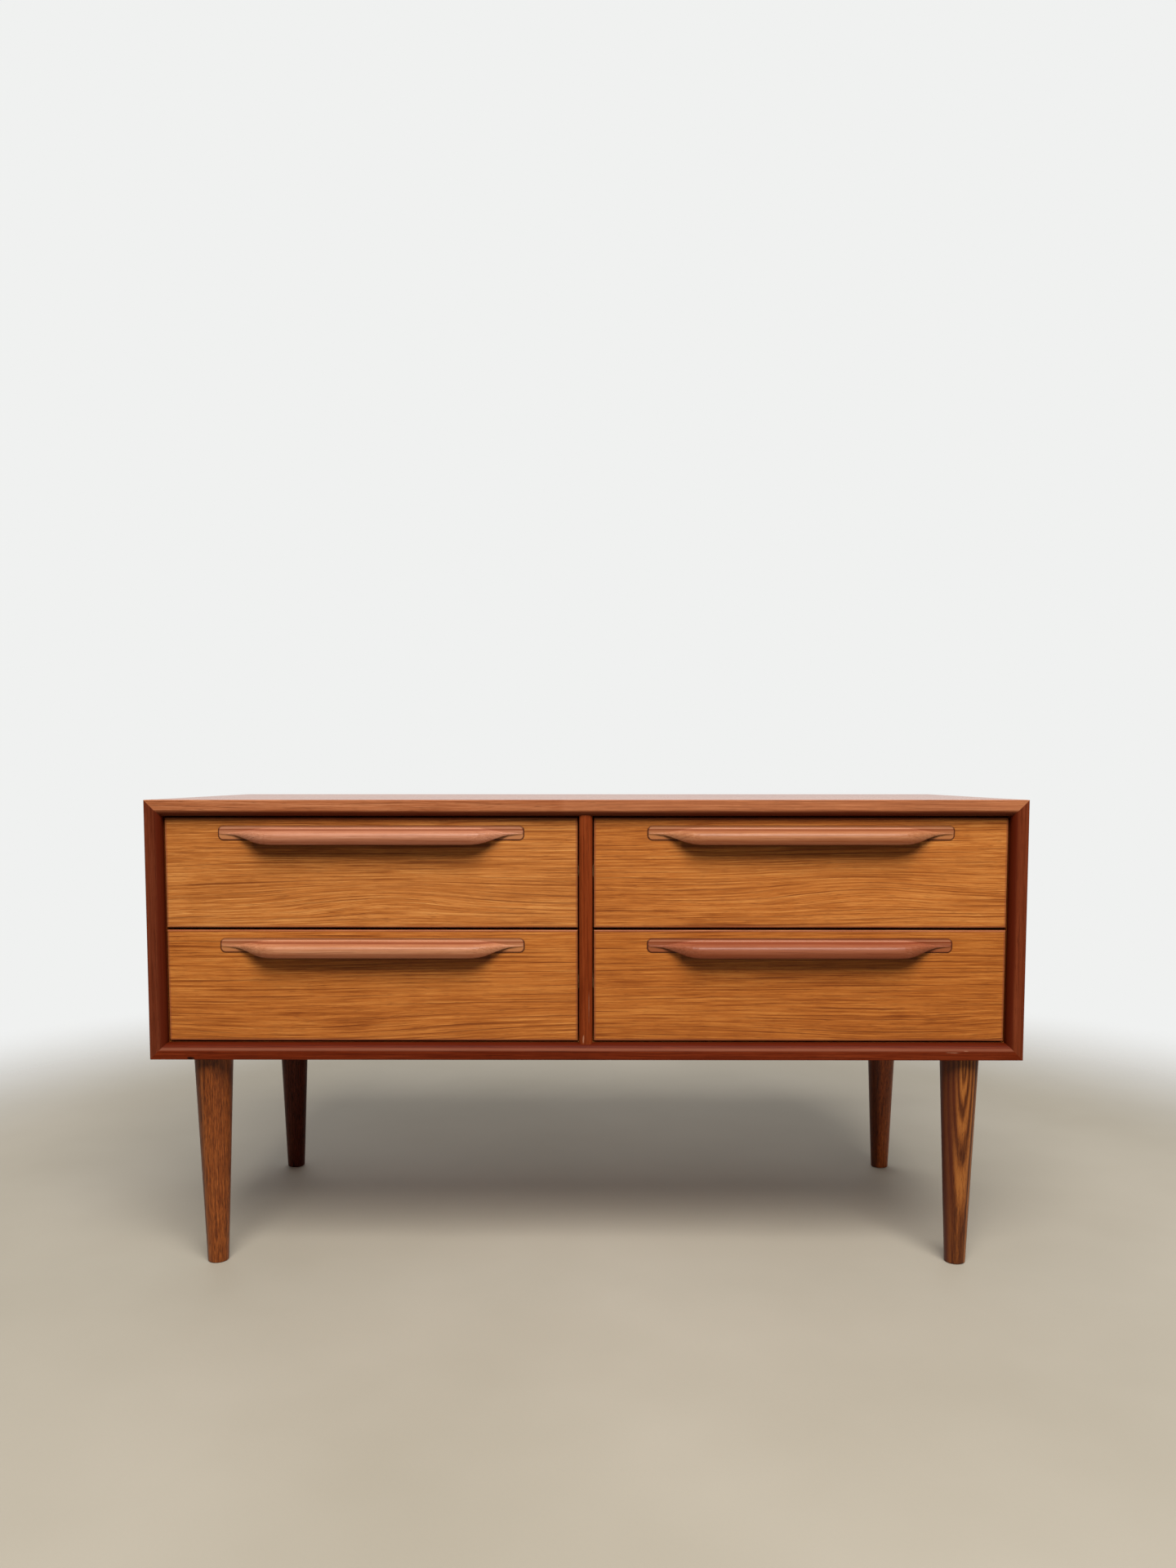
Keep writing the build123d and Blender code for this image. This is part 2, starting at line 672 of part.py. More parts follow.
# ---------------------------------------------------------------- legs
def leg(place):
    x, y = leg_places()[place]
    length = LEG_HEIGHT - PLATE_THICKNESS
    turned = Cone(LEG_FOOT_RADIUS, LEG_TOP_RADIUS, length, align=(Align.CENTER, Align.CENTER, Align.MIN))
    rims = turned.edges().filter_by(GeomType.CIRCLE).sort_by(Axis.Z)
    turned = fillet(rims[0], LEG_FOOT_ROUND)
    turned = fillet(turned.edges().filter_by(GeomType.CIRCLE).sort_by(Axis.Z)[-1], LEG_TOP_ROUND)
    hole = Cylinder(BOLT_RADIUS + BOLT_PLAY, BOLT_IN_LEG + BOLT_PLAY)
    turned -= Pos(0, 0, length - (BOLT_IN_LEG + BOLT_PLAY) / 2) * hole
    return Pos(x, y, 0) * turned


def leg_plates():
    """Steel plates under the case, each with a threaded boss let into its underside."""
    plates = []
    for x, y in leg_places().values():
        outline = RectangleRounded(PLATE_SIZE, PLATE_SIZE, PLATE_CORNER)
        plate = extrude(Pos(x, y, RISE - PLATE_THICKNESS) * outline, amount=PLATE_THICKNESS)
        plate += Pos(x, y, RISE + BOSS_HEIGHT / 2) * Cylinder(BOSS_RADIUS, BOSS_HEIGHT)
        plate -= Pos(x, y, RISE) * Cylinder(BOLT_RADIUS + BOLT_PLAY, 3 * BOSS_HEIGHT)
        for place in plate_screw_places(x, y):
            plate -= place * PLATE_SCREW.hole()
        plates.append(plate)
    return plates


def leg_bolts():
    bolts = []
    low = RISE - PLATE_THICKNESS - BOLT_IN_LEG
    high = RISE + BOSS_HEIGHT - SCREW_PLAY
    for x, y in leg_places().values():
        bolt = Pos(x, y, (low + high) / 2) * Cylinder(BOLT_RADIUS, high - low)
        rims = bolt.edges().filter_by(GeomType.CIRCLE)
        bolts.append(chamfer(rims, BOLT_RADIUS / 5))
    return bolts


# ---------------------------------------------------------------- the whole piece
def nodes():
    yield "top_panel", case_panel("top")
    yield "bottom_panel", case_panel("bottom")
    yield "side_panel_left", case_panel("left")
    yield "side_panel_right", case_panel("right")
    yield "divider_panel", divider_panel()
    yield "back_panel", back_panel()
    for edge in ("top", "bottom", "left", "right"):
        yield f"lipping_{edge}", lipping(edge)
    yield "lipping_divider", divider_lipping()
    yield "corner_tongues", together(corner_tongues())
    yield "divider_dowels", together(divider_dowels())
    yield "back_panel_screws", together([p * BACK_SCREW.body() for p in back_screw_places()])
    runner_screws = []
    for level, column in DRAWERS:
        for hand in ("left", "right"):
            yield f"runner_{level}_{column}_{hand}", runner(level, column, hand)
            for place in runner_screw_places(level, column, hand):
                runner_screws.append(place * RUNNER_SCREW.body())
    yield "runner_screws", together(runner_screws)
    for place in leg_places():
        yield f"leg_{place}", leg(place)
    yield "leg_plates", together(leg_plates())
    yield "leg_hanger_bolts", together(leg_bolts())
    yield "leg_plate_screws", together([p * PLATE_SCREW.body() for p in all_plate_screw_places()])
    for level, column in DRAWERS:
        name = f"drawer_{level}_{column}"
        yield f"{name}_front", drawer_front(level, column)
        for hand in ("left", "right"):
            yield f"{name}_side_{hand}", drawer_side(level, column, hand)
        yield f"{name}_back", drawer_back(level, column)
        yield f"{name}_bottom", bottom_board(level, column, 0)
        yield f"{name}_handle", handle(level, column)
        screws = [p * HANDLE_SCREW.body() for p in handle_screw_places(level, column)]
        yield f"{name}_handle_screws", together(screws)


os.makedirs("parts", exist_ok=True)
for node_name, shape in nodes():
    export_step(shape, f"parts/{node_name}.step")
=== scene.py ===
import math

import bpy
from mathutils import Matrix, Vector


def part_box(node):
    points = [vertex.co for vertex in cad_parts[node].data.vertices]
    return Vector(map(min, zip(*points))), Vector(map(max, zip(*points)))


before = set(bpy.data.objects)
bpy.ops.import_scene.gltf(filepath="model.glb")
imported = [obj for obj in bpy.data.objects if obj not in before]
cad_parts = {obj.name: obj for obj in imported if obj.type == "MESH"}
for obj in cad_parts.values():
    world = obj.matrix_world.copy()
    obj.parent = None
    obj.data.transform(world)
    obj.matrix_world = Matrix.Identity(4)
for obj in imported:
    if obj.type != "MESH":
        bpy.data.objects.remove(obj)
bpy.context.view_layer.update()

LEVELS = ("upper", "lower")
SIDES = ("left", "right")
DRAWERS = [(level, side) for level in LEVELS for side in SIDES]
LEGS = [(end, side) for end in ("front", "back") for side in SIDES]


# ---------------------------------------------------------------- colours

def srgb(red, green, blue):
    """A colour given as it looks on a screen, 0 to 255, as the linear colour that a shader takes."""
    def linear(value):
        share = value / 255
        if share <= 0.04045:
            return share / 12.92
        return ((share + 0.055) / 1.055) ** 2.4
    return (linear(red), linear(green), linear(blue), 1.0)


def tinted(colour, tint):
    return tuple(min(1.0, c * t) for c, t in zip(colour, (*tint, 1.0)))


# ---------------------------------------------------------------- node trees

class Finish:
    """The node tree of a material or of the world. Most methods add nodes and return their output."""

    def __init__(self, owner):
        self.owner = owner
        owner.use_nodes = True
        self.tree = owner.node_tree
        self.tree.nodes.clear()

    def add(self, kind, inputs=None, **settings):
        """Adds one node and returns the node itself."""
        node = self.tree.nodes.new(kind)
        for key, value in settings.items():
            setattr(node, key, value)
        for key, value in (inputs or {}).items():
            self.feed(node.inputs[key], value)
        return node

    def feed(self, socket, value):
        if isinstance(value, bpy.types.NodeSocket):
            self.tree.links.new(value, socket)
        else:
            socket.default_value = value

    def place(self):
        """Where a point lies in the object at rest, in metres. It moves with the piece."""
        return self.add("ShaderNodeTexCoord").outputs["Object"]

    def split(self, vector):
        return self.add("ShaderNodeSeparateXYZ", {0: vector}).outputs

    def join(self, x, y, z):
        return self.add("ShaderNodeCombineXYZ", {0: x, 1: y, 2: z}).outputs[0]

    def math(self, operation, first, second=0.0):
        inputs = {0: first, 1: second}
        return self.add("ShaderNodeMath", inputs, operation=operation).outputs[0]

    def plus(self, first, second):
        return self.math("ADD", first, second)

    def minus(self, first, second):
        return self.math("SUBTRACT", first, second)

    def times(self, first, second):
        return self.math("MULTIPLY", first, second)

    def over(self, first, second):
        return self.math("DIVIDE", first, second)

    def apart(self, first, second):
        """How far apart two values are, never below zero."""
        return self.math("ABSOLUTE", self.minus(first, second))

    def vector(self, operation, first, second):
        inputs = {0: first, 1: second}
        return self.add("ShaderNodeVectorMath", inputs, operation=operation).outputs[0]

    def dot(self, first, second):
        inputs = {0: first, 1: second}
        return self.add("ShaderNodeVectorMath", inputs, operation="DOT_PRODUCT").outputs["Value"]

    def length(self, vector):
        return self.add("ShaderNodeVectorMath", {0: vector}, operation="LENGTH").outputs["Value"]

    def noise(self, place, stretch, detail=2.0, roughness=0.5, coloured=False):
        """Noise from 0 to 1, with so many features a metre along each axis."""
        scaled = self.vector("MULTIPLY", place, stretch)
        inputs = {"Vector": scaled, "Scale": 1.0, "Detail": detail, "Roughness": roughness}
        node = self.add("ShaderNodeTexNoise", inputs)
        return node.outputs[1 if coloured else 0]

    def step(self, value, low, high, start=0.0, end=1.0):
        """Goes smoothly from start at low to end at high."""
        inputs = {0: value, 1: low, 2: high, 3: start, 4: end}
        return self.add("ShaderNodeMapRange", inputs, interpolation_type="SMOOTHSTEP").outputs[0]

    def ramp(self, value, stops):
        """A colour from stops of (place, colour)."""
        node = self.add("ShaderNodeValToRGB", {0: value})
        elements = node.color_ramp.elements
        while len(elements) < len(stops):
            elements.new(1.0)
        for element, (position, colour) in zip(elements, stops):
            element.position = position
            element.color = colour
        return node.outputs[0]

    def mix(self, share, first, second):
        """The first colour, with a share of the second laid over it."""
        inputs = {0: share, 6: first, 7: second}
        return self.add("ShaderNodeMix", inputs, data_type="RGBA").outputs[2]

    def mix_shaders(self, share, first, second):
        return self.add("ShaderNodeMixShader", {0: share, 1: first, 2: second}).outputs[0]

    def surface(self, colour, roughness, relief, depth, fixed):
        """A shader with a colour, a roughness and a relief of some depth in metres.

        fixed holds values for the shader's other inputs, by their names.
        """
        bump = self.add("ShaderNodeBump", {"Strength": 1.0, "Distance": depth, "Height": relief})
        inputs = {"Base Color": colour, "Roughness": roughness, "Normal": bump.outputs[0], **fixed}
        return self.add("ShaderNodeBsdfPrincipled", inputs).outputs[0]

    def material(self, shader):
        """Ends a material's tree with its shader and returns the material."""
        self.add("ShaderNodeOutputMaterial", {0: shader})
        return self.owner


# ---------------------------------------------------------------- kinds of wood

# along the grain, across it, and into the wood, as axes of the object
GRAIN_ORDER = {"XY": (0, 1, 2), "XZ": (0, 2, 1), "YZ": (1, 2, 0), "ZX": (2, 0, 1), "ZY": (2, 1, 0)}

# What these names mean, for a wood or for a change to one piece:
#   dark, middle, light, line, pore       colours
#   streaks, lines, pores, mottle, tone   how strongly each of them shows
#   spacing, jitter                       a year's width in metres, and how uneven the years are
#   wander                                metres that the grain strays to each side, in long bends
#   ripple                                metres from side to side of its short bends
#   slope                                 how much it leans, as a share of the way along it
#   dash, fleck                           dashes and pores a metre, along the grain and across it
#   open                                  pores show where their noise is above this
#   rough, gloss                          the shader's middle roughness and its specular level
#   figure                                soft hills that bend the year lines
#   rings                                 a function that gives the year lines a shape of their own
#   bands                                 painted changes, from the functions further down
# COMMON holds what a wood has unless its own entry or its piece says otherwise.
COMMON = dict(
    ripple=0.0011, jitter=2.6, dash=(13.0, 200.0), fleck=(70.0, 2600.0), open=0.56, gloss=0.25,
    figure=(), rings=None, bands=(),
)

WOODS = {
    "veneer": dict(
        dark=srgb(120, 58, 16), middle=srgb(178, 106, 48), light=srgb(208, 142, 78),
        line=srgb(96, 40, 10), pore=srgb(84, 36, 10),
        streaks=0.66, lines=0.72, pores=0.45, mottle=0.05, tone=0.13, slope=-0.010,
        wander=0.0040, spacing=0.0050, rough=0.40, dash=(7.0, 230.0),
    ),
    "lipping": dict(
        dark=srgb(112, 48, 22), middle=srgb(150, 78, 44), light=srgb(180, 106, 68),
        line=srgb(84, 34, 14), pore=srgb(64, 26, 12),
        streaks=0.60, lines=0.55, pores=0.45, mottle=0.04, tone=0.20, slope=0.004,
        wander=0.0025, spacing=0.0046, rough=0.45, gloss=0.05,
    ),
    "handle": dict(
        dark=srgb(140, 72, 38), middle=srgb(184, 112, 74), light=srgb(210, 144, 106),
        line=srgb(122, 60, 34), pore=srgb(104, 52, 30),
        streaks=0.34, lines=0.45, pores=0.30, mottle=0.03, tone=0.14, slope=0.003,
        wander=0.0018, spacing=0.0040, rough=0.38,
    ),
    "leg": dict(
        dark=srgb(78, 36, 12), middle=srgb(130, 74, 36), light=srgb(164, 104, 58),
        line=srgb(66, 28, 10), pore=srgb(40, 16, 6),
        streaks=0.66, lines=0.75, pores=0.70, mottle=0.07, tone=0.22, slope=0.004,
        wander=0.0035, spacing=0.0056, rough=0.38, fleck=(120.0, 1900.0), open=0.50,
    ),
    "drawer": dict(
        dark=srgb(176, 134, 86), middle=srgb(206, 168, 118), light=srgb(222, 190, 144),
        line=srgb(160, 116, 72), pore=srgb(140, 100, 64),
        streaks=0.30, lines=0.40, pores=0.30, mottle=0.05, tone=0.10, slope=0.006,
        wander=0.0070, spacing=0.0085, rough=0.55,
    ),
    "plywood": dict(
        dark=srgb(156, 104, 64), middle=srgb(184, 134, 88), light=srgb(202, 156, 110),
        line=srgb(134, 84, 50), pore=srgb(120, 76, 48),
        streaks=0.30, lines=0.55, pores=0.25, mottle=0.07, tone=0.14, slope=0.010,
        wander=0.0200, spacing=0.0150, rough=0.60,
    ),
}

SEED_SHIFT = (3.171, 1.733, 0.919)  # metres from one seed's wood to the next
DEPTH_SHARE = 0.8  # how fast the years change into the wood, against across it
LATE_WOOD = (0.56, 0.92)  # the parts of a year where its dark line starts and is darkest
PORE_RIM = 0.16  # how softly a pore's edge fades
RELIEF = 0.00004  # metres of relief for a height of 1
STREAK_SHARES = (0.34, 0.66)  # of the broad streaks and the fine ones
# how far each of these moves the wood's tone at a strength of 1
STREAK_RANGE = 4
TONE_RANGE = 4
MOTTLE_RANGE = 3
RING_RANGE = 0.46


# ---------------------------------------------------------------- how wood is made

def grain_place(finish, grain, middle):
    """Places along and across the grain, measured from a piece's middle."""
    offset = finish.vector("SUBTRACT", finish.place(), middle)
    parts = finish.split(offset)
    return finish.join(*[parts[i] for i in GRAIN_ORDER[grain]])


def drawn_out(finish, place, along, across, detail=2.0, roughness=0.5):
    """Noise with so many features a metre along the grain and across it."""
    return finish.noise(place, (along, across, across), detail, roughness)


def swell(finish, place, hills):
    """A sum of soft hills: each has its middle along and across the grain, its two sizes, its height."""
    total = 0.0
    for along, across, long, wide, height in hills:
        offset = finish.vector("SUBTRACT", place, (along, across, 0.0))
        offset = finish.vector("MULTIPLY", offset, (1 / long, 1 / wide, 0.0))
        hill = finish.math("EXPONENT", finish.times(finish.dot(offset, offset), -1.0))
        total = finish.plus(total, finish.times(hill, height))
    return total


def stray(finish, place, along, across, reach):
    """Noise that moves the grain sideways over a reach, with so many bends a metre."""
    push = finish.noise(place, (along, across, across), detail=1.0, coloured=True)
    push = finish.vector("SUBTRACT", push, (0.5, 0.5, 0.5))
    return finish.vector("MULTIPLY", push, (0.0, reach, reach))


def bent(finish, still, place, look):
    """The places along, across and into the wood, bent as the grain bends."""
    sway = stray(finish, place, 2.2, 5.0, look["wander"] * 2)
    ripple = stray(finish, place, 19.0, 60.0, look["ripple"])
    place = finish.vector("ADD", place, finish.vector("ADD", sway, ripple))
    along, across, deep = finish.split(place)
    across = finish.plus(across, finish.times(along, look["slope"]))
    if look["figure"]:
        across = finish.plus(across, swell(finish, still, look["figure"]))
    return along, across, deep


def years(finish, still, bent_place, across, deep, look):
    """Counts the years across the wood, a little unevenly."""
    if look["rings"]:
        year = look["rings"](finish, still)
    else:
        year = finish.plus(across, finish.times(deep, DEPTH_SHARE))
    year = finish.over(year, look["spacing"])
    jitter = drawn_out(finish, bent_place, 2.0, 70.0, detail=1.0)
    return finish.plus(year, finish.times(jitter, look["jitter"]))


def lightness(finish, bent_place, year, broad, fine, look):
    """How light the wood is, from 0 at its dark tone to 1 at its light one."""
    broad_share, fine_share = STREAK_SHARES
    streaks = finish.plus(finish.times(broad, broad_share), finish.times(fine, fine_share))
    tones = finish.noise(bent_place, (1.8, 26.0, 26.0))
    mottle = finish.noise(bent_place, (30.0, 9.0, 9.0), detail=1.0)
    parts = (
        (streaks, look["streaks"] * STREAK_RANGE),
        (tones, look["tone"] * TONE_RANGE),
        (mottle, look["mottle"] * MOTTLE_RANGE),
    )
    value = 0.5
    for part, strength in parts:
        value = finish.plus(value, finish.times(finish.minus(part, 0.5), strength))
    if look["rings"]:
        ring = finish.math("SINE", finish.times(year, 2 * math.pi))
        value = finish.plus(value, finish.times(ring, RING_RANGE))
    return value


def year_lines(finish, bent_place, year, look):
    """The dark late wood at each year's end, broken into dashes, from 0 to 1."""
    phase = finish.math("FRACT", year)
    start, peak = LATE_WOOD
    rise = finish.step(phase, start, peak)
    line = finish.times(rise, finish.step(phase, peak, 1.0, 1.0, 0.0))
    dashes = drawn_out(finish, bent_place, *look["dash"])
    return finish.times(line, finish.step(dashes, 0.40, 0.64))


def wood(name, grain, look, seed, middle, tint, changes):
    """Solid wood, grained along one axis of the object. Each seed is another tree."""
    look = {**COMMON, **WOODS[look], **changes}
    for key in ("dark", "middle", "light", "line", "pore"):
        look[key] = tinted(look[key], tint)
    finish = Finish(bpy.data.materials.new(name))
    still = grain_place(finish, grain, middle)
    place = finish.vector("ADD", still, [seed * shift for shift in SEED_SHIFT])
    along, across, deep = bent(finish, still, place, look)
    place = finish.join(along, across, deep)

    year = years(finish, still, place, across, deep, look)
    broad = drawn_out(finish, place, 4.5, 420.0, detail=3.0, roughness=0.62)
    fine = drawn_out(finish, place, 12.0, 1400.0, roughness=0.6)
    value = lightness(finish, place, year, broad, fine, look)
    colour = finish.ramp(value, [
        (0.0, look["dark"]), (0.5, look["middle"]), (1.0, look["light"]),
    ])
    line = year_lines(finish, place, year, look)
    colour = finish.mix(finish.times(line, look["lines"]), colour, look["line"])
    pore = drawn_out(finish, place, *look["fleck"], detail=1.0)
    pore = finish.step(pore, look["open"], look["open"] + PORE_RIM)
    colour = finish.mix(finish.times(pore, look["pores"]), colour, look["pore"])
    for band in look["bands"]:
        share, band_colour = band(finish, still, place)
        colour = finish.mix(share, colour, band_colour)

    rough = finish.plus(look["rough"] - 0.05, finish.times(broad, 0.10))
    relief = finish.minus(finish.times(fine, 0.4), finish.times(pore, 0.5))
    shader = finish.surface(colour, rough, relief, RELIEF, {"Specular IOR Level": look["gloss"]})
    return finish.material(shader)


def cathedrals(half_height, tip, reach, bend=2.2):
    """Year lines nested like pointed arches whose tips point down the leg's front.

    The heart of the wood lies a reach deep at the leg's foot, and comes to the surface at the
    height of the tip.
    """
    def rings(finish, still):
        along, across, _ = finish.split(still)
        height = finish.math("MAXIMUM", finish.plus(along, half_height), 0.0)
        share = finish.math("MINIMUM", finish.over(height, tip), 1.0)
        depth = finish.times(finish.minus(1.0, finish.math("POWER", share, bend)), reach)
        square = finish.plus(finish.times(across, across), finish.times(depth, depth))
        return finish.math("SQRT", square)
    return rings


# ---------------------------------------------------------------- painted changes

# Each of these makes one entry of a wood's bands: a function that takes the tree and the piece's
# places, still and bent, and returns how much of a colour shows, and the colour. Sizes and levels
# are in metres from the piece's middle, along the grain, across it and into the wood.

def inside(finish, place, half, corner, middle=(0.0, 0.0)):
    """How far a place lies inside a rounded rectangle's outline. Outside it is below zero."""
    along, across, _ = finish.split(place)
    reach = []
    for value, centre, size in ((along, middle[0], half[0]), (across, middle[1], half[1])):
        reach.append(finish.minus(finish.apart(value, centre), size - corner))
    outer = finish.join(*[finish.math("MAXIMUM", r, 0.0) for r in reach], 0.0)
    inner = finish.math("MINIMUM", finish.math("MAXIMUM", *reach), 0.0)
    return finish.minus(corner, finish.plus(finish.length(outer), inner))


def edge_band(half, width, share, tones, joint_share, joint_colour, blur=0.0003, joint=(0.0001, 0.0007)):
    """A front's solid edging: a band along its four edges, with a thin dark joint along its inside.

    joint holds how far from its middle the joint is fully dark, and where it has faded.
    """
    def paint(finish, still, place):
        near = inside(finish, still, half, 0.0)
        band = finish.step(near, width - blur, width + blur, 1.0, 0.0)
        seam = finish.times(finish.step(finish.apart(near, width), *joint, 1.0, 0.0), joint_share)
        streak = drawn_out(finish, place, 7.0, 500.0)
        colour = finish.ramp(streak, [(0.25, tones[0]), (0.75, tones[1])])
        both = finish.math("MAXIMUM", finish.times(band, share), seam)
        return both, finish.mix(seam, colour, joint_colour)
    return paint


def outline(half, corner, middle, width, share, colour, behind=None, blur=0.0004):
    """The dark joint round a piece let into the surface, a little uneven; it also holds painted shade,
    so it is weaker along its top.

    With behind, it is only painted on what lies behind that depth.
    """
    top = middle[1] + half[1]
    fade_start = top - 0.004
    fade_end = top - 0.001
    top_share = 0.45

    def paint(finish, still, place):
        off = finish.math("ABSOLUTE", inside(finish, still, half, corner, middle))
        rag = finish.noise(place, (60.0, 60.0, 60.0))
        reach = finish.times(width, finish.plus(0.6, rag))
        near = finish.minus(1.0, finish.over(off, reach))
        _, across, deep = finish.split(still)
        weight = finish.step(across, fade_start, fade_end, share, share * top_share)
        if behind is not None:
            weight = finish.times(weight, finish.step(deep, behind - blur, behind))
        return finish.times(finish.step(near, 0.0, 0.6), weight), colour
    return paint


def flush(behind, level, share, colour, depth_blur=0.0008, blur=0.0006, top_share=0.35):
    """Tones what lies behind one depth, more weakly above one level."""
    def paint(finish, still, place):
        _, across, deep = finish.split(still)
        weight = finish.step(deep, behind - depth_blur, behind)
        below = finish.step(across, level - blur, level + blur, share, share * top_share)
        return finish.times(weight, below), colour
    return paint


def patch(half, corner, middle, blur, share, colour):
    """A soft-edged rounded area of another tone."""
    def paint(finish, still, place):
        near = inside(finish, still, half, corner, middle)
        return finish.step(near, -blur, blur, 0.0, share), colour
    return paint


def beyond(direction, start, end, share, colour, rag=0.0012):
    """Tones what lies past start, fully from end on, in one direction across the grain: 1 or -1."""
    def paint(finish, still, place):
        _, across, _ = finish.split(still)
        uneven = finish.minus(drawn_out(finish, place, 9.0, 220.0), 0.5)
        reach = finish.plus(finish.times(across, direction), finish.times(uneven, rag))
        return finish.times(finish.step(reach, start, end), share), colour
    return paint


def spot(along, across, long, wide, share, colour, raggedness=0.9, rim=(0.35, 0.75)):
    """A knot or a scuff, with a ragged rim."""
    def paint(finish, still, place):
        hill = swell(finish, still, [(along, across, long, wide, 1.0)])
        rag = finish.minus(finish.noise(place, (160.0, 500.0, 500.0)), 0.5)
        ragged = finish.plus(hill, finish.times(rag, raggedness))
        return finish.times(finish.step(ragged, *rim), share), colour
    return paint


def line(level, reach, share, colour, broken=False):
    """A line along the grain at one level across it, a little uneven, or broken up."""
    def paint(finish, still, place):
        _, across, _ = finish.split(still)
        weight = finish.step(finish.apart(across, level), 0.0, reach, share, 0.0)
        if broken:
            rag = drawn_out(finish, place, 14.0, 90.0, detail=3.0)
        else:
            rag = finish.plus(0.6, finish.times(drawn_out(finish, place, 9.0, 120.0), 0.6))
        return finish.times(weight, rag), colour
    return paint


# ---------------------------------------------------------------- steel

def steel(name):
    """Bright plated steel with the fine marks of tumbling and handling."""
    finish = Finish(bpy.data.materials.new(name))
    place = finish.place()
    cloud = finish.noise(place, (120.0, 120.0, 120.0), detail=3.0)
    marks = finish.noise(place, (900.0, 900.0, 2600.0))
    colour = finish.ramp(cloud, [(0.3, srgb(148, 142, 128)), (0.7, srgb(196, 190, 172))])
    rough = finish.plus(0.26, finish.times(marks, 0.18))
    return finish.material(finish.surface(colour, rough, marks, 0.00003, {"Metallic": 1.0}))


# ---------------------------------------------------------------- the pieces

NO_TINT = (1.0, 1.0, 1.0)

# each piece's own factors on the red, green and blue of its wood. They are partly the wood's own colour
# and partly painted shade and light: most of all, the lipping strips below and at the sides and the
# back left leg are darkened by painted shade, and the top strip is lightened by painted light
TINTS_AND_SHADE = {
    "side_panel_left": (1.12, 0.92, 0.80),
    "side_panel_right": (1.12, 0.92, 0.80),
    "drawer_upper_left_front": (1.06, 1.10, 1.05),
    "drawer_upper_right_front": (1.02, 0.99, 0.84),
    "drawer_lower_left_front": (0.98, 0.92, 0.72),
    "drawer_lower_right_front": (0.93, 0.85, 0.62),
    "lipping_top": (1.16, 1.48, 1.65),
    "lipping_bottom": (0.42, 0.22, 0.14),
    "lipping_left": (0.42, 0.34, 0.38),
    "lipping_right": (0.50, 0.39, 0.38),
    "lipping_divider": (0.60, 0.40, 0.24),
    "drawer_upper_left_handle": (0.94, 1.14, 1.43),
    "drawer_upper_right_handle": (0.79, 0.88, 0.86),
    "drawer_lower_left_handle": (0.89, 1.06, 1.16),
    "drawer_lower_right_handle": (0.53, 0.44, 0.43),
    "leg_front_left": (1.02, 0.80, 0.50),
    "leg_front_right": (0.92, 0.82, 0.50),
    "leg_back_left": (0.42, 0.26, 0.4),
    "leg_back_right": (1.35, 0.90, 0.50),
}

# the seed of each repeated piece's first one, to which the drawer's or the leg's number is added
LEG_SEED = 20
FRONT_SEED = 30
HANDLE_SEED = 40
DRAWER_SIDE_SEED = 50
RUNNER_SEED = 60
DRAWER_BACK_SEED = 70
DRAWER_BOTTOM_SEED = 80


def middle_of(node):
    low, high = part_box(node)
    return (low + high) / 2


def dress(node, material):
    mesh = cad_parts[node].data
    mesh.materials.clear()
    mesh.materials.append(material)


def dress_wood(node, grain, look, seed, **changes):
    """Gives a piece a wood of its own. The changes apply to this piece alone."""
    tint = TINTS_AND_SHADE.get(node, NO_TINT)
    dress(node, wood(node, grain, look, seed, middle_of(node), tint, changes))


def dress_panels():
    dress_wood("top_panel", "XY", "veneer", 3, gloss=0.8, rough=0.16)
    dress_wood("bottom_panel", "XY", "veneer", 5)
    dress_wood("side_panel_left", "ZY", "veneer", 7)
    dress_wood("side_panel_right", "ZY", "veneer", 8)
    dress_wood("divider_panel", "ZY", "veneer", 9)
    dress_wood("back_panel", "XZ", "plywood", 10)
    dress_wood("corner_tongues", "YZ", "drawer", 16)
    dress_wood("divider_dowels", "XY", "drawer", 17)


ROUND = (0.0015, 0.0060)  # from a strip's middle to where the painted shade on its round starts, and is full
# painted shade on the round of each strip, which turns into the recess round the drawers
ROUND_SHADE = srgb(74, 20, 5)
PALER = srgb(222, 152, 108)  # the top strip's right part
ROUND_HIGHLIGHT = srgb(150, 92, 70)  # a painted highlight along the start of the bottom strip's round
KNOT = srgb(34, 12, 6)
SCUFF = srgb(206, 160, 128)


def dress_lipping():
    """The strips on the case's front, with painted shade on the side with the round, a painted highlight
    along the bottom strip, and a few marks of use.
    """
    dress_wood("lipping_top", "XZ", "lipping", 11, bands=[
        patch((0.30, 0.0090), 0.008, (0.27, 0.003), 0.006, 0.14, PALER),
        beyond(-1.0, *ROUND, 0.85, ROUND_SHADE),
    ])
    dress_wood("lipping_bottom", "XZ", "lipping", 12, bands=[
        beyond(1.0, 0.0052, 0.0082, 0.72, ROUND_SHADE),
        line(0.0033, 0.0031, 0.68, ROUND_HIGHLIGHT),
        spot(-0.499, -0.008, 0.006, 0.0025, 0.95, KNOT),
        spot(0.462, 0.0, 0.010, 0.0008, 0.22, SCUFF),
        spot(0.478, 0.002, 0.003, 0.0007, 0.25, SCUFF),
    ])
    dress_wood("lipping_left", "ZX", "lipping", 13, streaks=0.36, bands=[
        beyond(1.0, *ROUND, 0.8, ROUND_SHADE),
    ])
    dress_wood("lipping_right", "ZX", "lipping", 14, streaks=0.36, bands=[
        beyond(-1.0, *ROUND, 0.9, ROUND_SHADE),
    ])
    dress_wood("lipping_divider", "ZX", "lipping", 15, bands=[
        spot(-0.138, -0.0030, 0.006, 0.0012, 0.35, SCUFF),
        spot(-0.095, 0.004, 0.024, 0.0005, 0.18, SCUFF),
    ])


